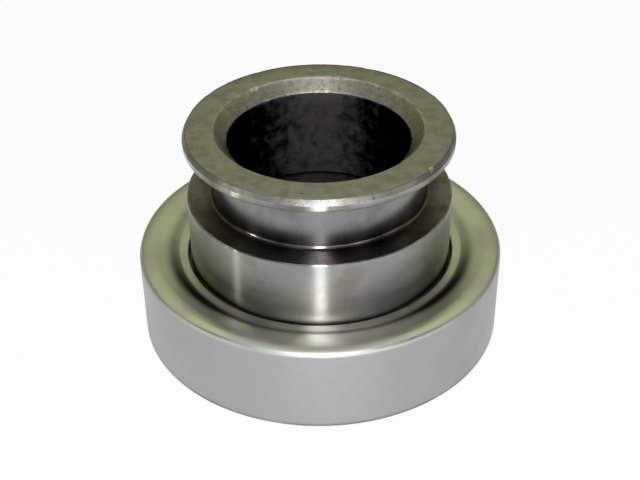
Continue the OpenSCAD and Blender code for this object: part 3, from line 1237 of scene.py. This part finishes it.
@dataclass
class BallBearing:
    """Rings, balls, cage and seal, which keep their solids and get finishes of their own.

    Attributes:
        finishes: Finish of each solid, by name.
        ball_prefix: How the names of the balls start.
        ball_finish: Finish of the balls.
    """

    finishes: dict[str, MetalFinish | MouldedFinish] = field(
        default_factory=lambda: {
            "inner_ring": RACE_GREASE_AND_SHADE,
            "outer_ring": GROUND_RACE,
            "ball_cage": CAGE_PLASTIC,
            "front_seal": SEAL_RUBBER,
        }
    )
    ball_prefix: str = "ball_"
    ball_finish: MetalFinish = LAPPED_BALL

    def build(self) -> list[bpy.types.Object]:
        """Gives every solid of the bearing its finish.

        Returns:
            The dressed solids.
        """
        made: dict[str, bpy.types.Material] = {}
        dressed = []
        for name, node in sorted(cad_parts.items()):
            finish = self._finish_of(name)
            if finish is None:
                continue
            if finish.name not in made:
                made[finish.name] = finish.material()
            node.data.materials.clear()
            node.data.materials.append(made[finish.name])
            dressed.append(node)
        return dressed

    def _finish_of(self, name: str) -> MetalFinish | MouldedFinish | None:
        """Finish of a solid, or None where another class dresses it."""
        of_ball = self.ball_finish if name.startswith(self.ball_prefix) else None
        return self.finishes.get(name, of_ball)


def direction(azimuth: float, elevation: float) -> Vector:
    """Unit vector from the object in degrees, where azimuth 0 is the camera's side and 90 its right."""
    a, e = math.radians(azimuth), math.radians(elevation)
    return Vector((math.sin(a) * math.cos(e), -math.cos(a) * math.cos(e), math.sin(e)))


def aim(item: bpy.types.Object, target: Vector, towards: Vector, distance: float) -> None:
    """Puts a lamp or the camera at a distance from a point, facing it.

    Args:
        item: The lamp or camera.
        target: Point that it faces, m.
        towards: Unit vector from the point to it.
        distance: Distance from the point, m.
    """
    item.location = target + towards * distance
    item.rotation_mode = "QUATERNION"
    item.rotation_quaternion = towards.to_track_quat("Z", "Y")


@dataclass(frozen=True)
class Lamp:
    """One rectangular lamp that faces the object.

    Attributes:
        name: Name of the lamp.
        azimuth: Place round the object, degrees to the right of the camera.
        elevation: Height above the horizon, degrees.
        distance: Distance from the object, m.
        size: Width and height, m.
        radiance: Brightness of its face, where 1 is white.
        colour: Colour of its light.
    """

    name: str
    azimuth: float
    elevation: float
    distance: float
    size: tuple[float, float]
    radiance: float
    colour: Colour = WHITE

    def build(self, target: Vector) -> bpy.types.Object:
        """Makes the lamp.

        Args:
            target: Point that it faces, m.

        Returns:
            The new lamp.
        """
        light = bpy.data.lights.new(self.name, "AREA")
        light.shape = "RECTANGLE"
        light.size, light.size_y = self.size
        light.energy = self.radiance * math.pi * self.size[0] * self.size[1]
        light.color = self.colour
        lamp = new_object(self.name, light)
        aim(lamp, target, direction(self.azimuth, self.elevation), self.distance)
        lamp.visible_camera = False
        return lamp


@dataclass(frozen=True)
class Card:
    """Upright card, bent round the object, that only reflections show.

    Attributes:
        name: Name of the card.
        first: Azimuth of its first edge, degrees to the right of the camera.
        last: Azimuth of its last edge.
        tones: Elevation in degrees and grey tone, from its foot to its head.
        radius: Distance from the axis, m.
        colour: Tint of the tones.
    """

    name: str
    first: int
    last: int
    tones: tuple[tuple[float, float], ...]
    radius: float = 0.6
    colour: Colour = WHITE

    # Turn between two folds, degrees
    FOLD = 5

    def build(self) -> bpy.types.Object:
        """Makes the card.

        Returns:
            The new card.
        """
        heights = [self.radius * math.tan(math.radians(elevation)) for elevation, _ in self.tones]
        low, high = heights[0], heights[-1]
        plan = [direction(turn, 0.0) * self.radius for turn in range(self.first, self.last + 1, self.FOLD)]
        foot = [point + Vector((0.0, 0.0, low)) for point in plan]
        head = [point + Vector((0.0, 0.0, high)) for point in plan]
        count = len(plan)
        faces = [(i, i + 1, count + i + 1, count + i) for i in range(count - 1)]
        mesh = bpy.data.meshes.new(self.name)
        mesh.from_pydata(foot + head, [], faces)
        tints = [tuple(tone * part for part in self.colour) for _, tone in self.tones]
        stops = [((z - low) / (high - low), tint) for z, tint in zip(heights, tints)]
        mesh.materials.append(self._paint(low, high, stops))
        card = new_object(self.name, mesh)
        card.visible_camera = False
        card.visible_diffuse = False
        card.visible_transmission = False
        card.visible_shadow = False
        return card

    def _paint(self, low: float, high: float, stops: list[tuple[float, Colour]]) -> bpy.types.Material:
        """Makes the card's paint, which changes from its foot to its head.

        Args:
            low: Height of the foot, m.
            high: Height of the head, m.
            stops: Tones from the foot, 0, to the head, 1.

        Returns:
            The new material.
        """
        material, graph = new_material(self.name)
        material.cycles.emission_sampling = "NONE"
        share = (graph.height_of(graph.place()) - low) / (high - low)
        graph.show(graph.glow(graph.node("ShaderNodeValToRGB", {"stops": stops}, {0: share})))
        return material


@dataclass
class Studio:
    """Pale floor, soft lamps, cards round the object, and the camera.

    Attributes:
        target_height: Height of the point on the axis that the camera looks at, mm.
        distance: Distance of the camera from that point, mm.
        elevation: Height of the camera above the horizon, degrees.
        roll: Turn of the camera about its line of sight, degrees.
        focal_px: Focal length in pixels of the image.
        image_width: Width of the image, pixels.
        sensor_width: Width of the camera's sensor, mm.
        clip_start: Nearest distance that the camera shows, m.
        floor_radius: Radius of the floor, m.
        floor_colour: Colour of the floor under the lamps.
        floor_glow: Share of the floor's white that doesn't depend on the lamps.
        ambient: Brightness of the surroundings for matt surfaces.
        cards: The cards.
        lamps: The lamps.
    """

    target_height: float = 18.17
    distance: float = 249.2
    elevation: float = 35.124
    roll: float = -0.59
    focal_px: float = 1245.6
    image_width: float = 640.0
    sensor_width: float = 36.0
    clip_start: float = 0.01
    floor_radius: float = 2.5
    floor_colour: Colour = (0.92, 0.92, 0.92)
    floor_glow: float = 0.94
    ambient: float = 0.28
    cards: tuple[Card, ...] = (
        Card(
            "back_card",
            85,
            275,
            ((0.0, 0.06), (10.0, 0.10), (28.0, 0.46), (50.0, 0.7), (60.0, 0.8)),
            colour=(1.0, 1.03, 0.66),
        ),
        Card("front_card", -60, 60, ((24.0, 0.10), (48.0, 0.16), (62.0, 0.8), (74.0, 0.9))),
        Card("left_flag", -85, -60, ((24.0, 0.03), (50.0, 0.05), (60.0, 0.12), (70.0, 0.3))),
        Card("right_flag", 60, 85, ((24.0, 0.03), (50.0, 0.05), (60.0, 0.12), (70.0, 0.3))),
    )
    lamps: tuple[Lamp, ...] = (
        Lamp("flash", 0.0, 38.0, 0.34, (0.03, 0.12), 55.0, (0.93, 0.96, 1.0)),
        Lamp("low_strip", 0.0, 5.0, 0.45, (0.06, 0.08), 66.0, (0.95, 0.97, 1.0)),
        Lamp("front_fill", 0.0, 58.0, 0.9, (0.7, 0.5), 0.3),
        Lamp("left_strip", -67.0, 4.0, 0.5, (0.03, 0.08), 56.0, (0.95, 1.0, 0.8)),
        Lamp("right_strip", 26.0, 8.0, 0.5, (0.25, 0.12), 3.7),
        Lamp("right_fill", 64.0, 6.0, 0.5, (0.4, 0.1), 1.6),
    )

    # Turn between two corners of the floor, degrees
    FLOOR_TURN = 5

    def build(self) -> None:
        """Makes the floor, the world, the cards, the lamps and the camera."""
        target = Vector((0.0, 0.0, self.target_height * MM))
        self._floor()
        self._world()
        for card in self.cards:
            card.build()
        for lamp in self.lamps:
            lamp.build(target)
        self._camera(target)
        bpy.context.scene.view_settings.view_transform = "Standard"

    def _camera(self, target: Vector) -> None:
        """Makes the camera at the photograph's viewing angle.

        Args:
            target: Point that it looks at, m.
        """
        data = bpy.data.cameras.new("camera")
        data.sensor_width = self.sensor_width
        data.lens = self.focal_px * self.sensor_width / self.image_width
        data.clip_start = self.clip_start
        camera = new_object("camera", data)
        aim(camera, target, direction(0.0, self.elevation), self.distance * MM)
        camera.rotation_quaternion @= Quaternion((0.0, 0.0, 1.0), math.radians(self.roll))
        bpy.context.scene.camera = camera

    def _floor(self) -> None:
        """Makes a round white floor that keeps the object's shadow."""
        mesh = bpy.data.meshes.new("floor")
        rim = [direction(turn, 0.0) * self.floor_radius for turn in range(0, 360, self.FLOOR_TURN)]
        mesh.from_pydata(rim, [], [list(range(len(rim)))])
        floor = new_object("floor", mesh)
        material, graph = new_material("floor_white")
        material.cycles.emission_sampling = "NONE"
        matt = graph.node("ShaderNodeBsdfDiffuse", None, {"Color": self.floor_colour})
        share = seen_ray(graph) * self.floor_glow
        graph.show(graph.node("ShaderNodeMixShader", None, {0: share, 1: matt, 2: graph.glow(WHITE)}))
        mesh.materials.append(material)

    def _world(self) -> None:
        """Makes white surroundings, with a softer light for matt surfaces."""
        world = bpy.data.worlds.new("surroundings")
        world.use_nodes = True
        world.cycles.sampling_method = "NONE"
        bpy.context.scene.world = world
        graph = Graph(world.node_tree)
        strength = self.ambient + (1 - self.ambient) * seen_ray(graph)
        glow = graph.node("ShaderNodeBackground", None, {"Color": WHITE, "Strength": strength})
        graph.node("ShaderNodeOutputWorld", None, {"Surface": glow})


def seen_ray(graph: Graph) -> Value:
    """1 for what the camera, a reflection or clear material sees, and 0 for the light on matt surfaces.

    Args:
        graph: Graph of the floor or the world.

    Returns:
        The number for each ray.
    """
    kinds = ("Is Camera Ray", "Is Glossy Ray", "Is Transmission Ray")
    camera, glossy, clear = (graph.node("ShaderNodeLightPath", output=kind) for kind in kinds)
    return graph.limited(camera + glossy + clear)


def main() -> None:
    """Builds the pieces in order, then the studio round them."""
    logging.basicConfig(level=logging.INFO, format="%(name)s: %(message)s")
    pieces = [GuideSleeve().build(), DrawnShell().build(), *BallBearing().build()]
    for piece in pieces:
        log.info("%s: %d faces", piece.name, len(piece.data.polygons))
    Studio().build()


if __name__ == "__main__":
    main()
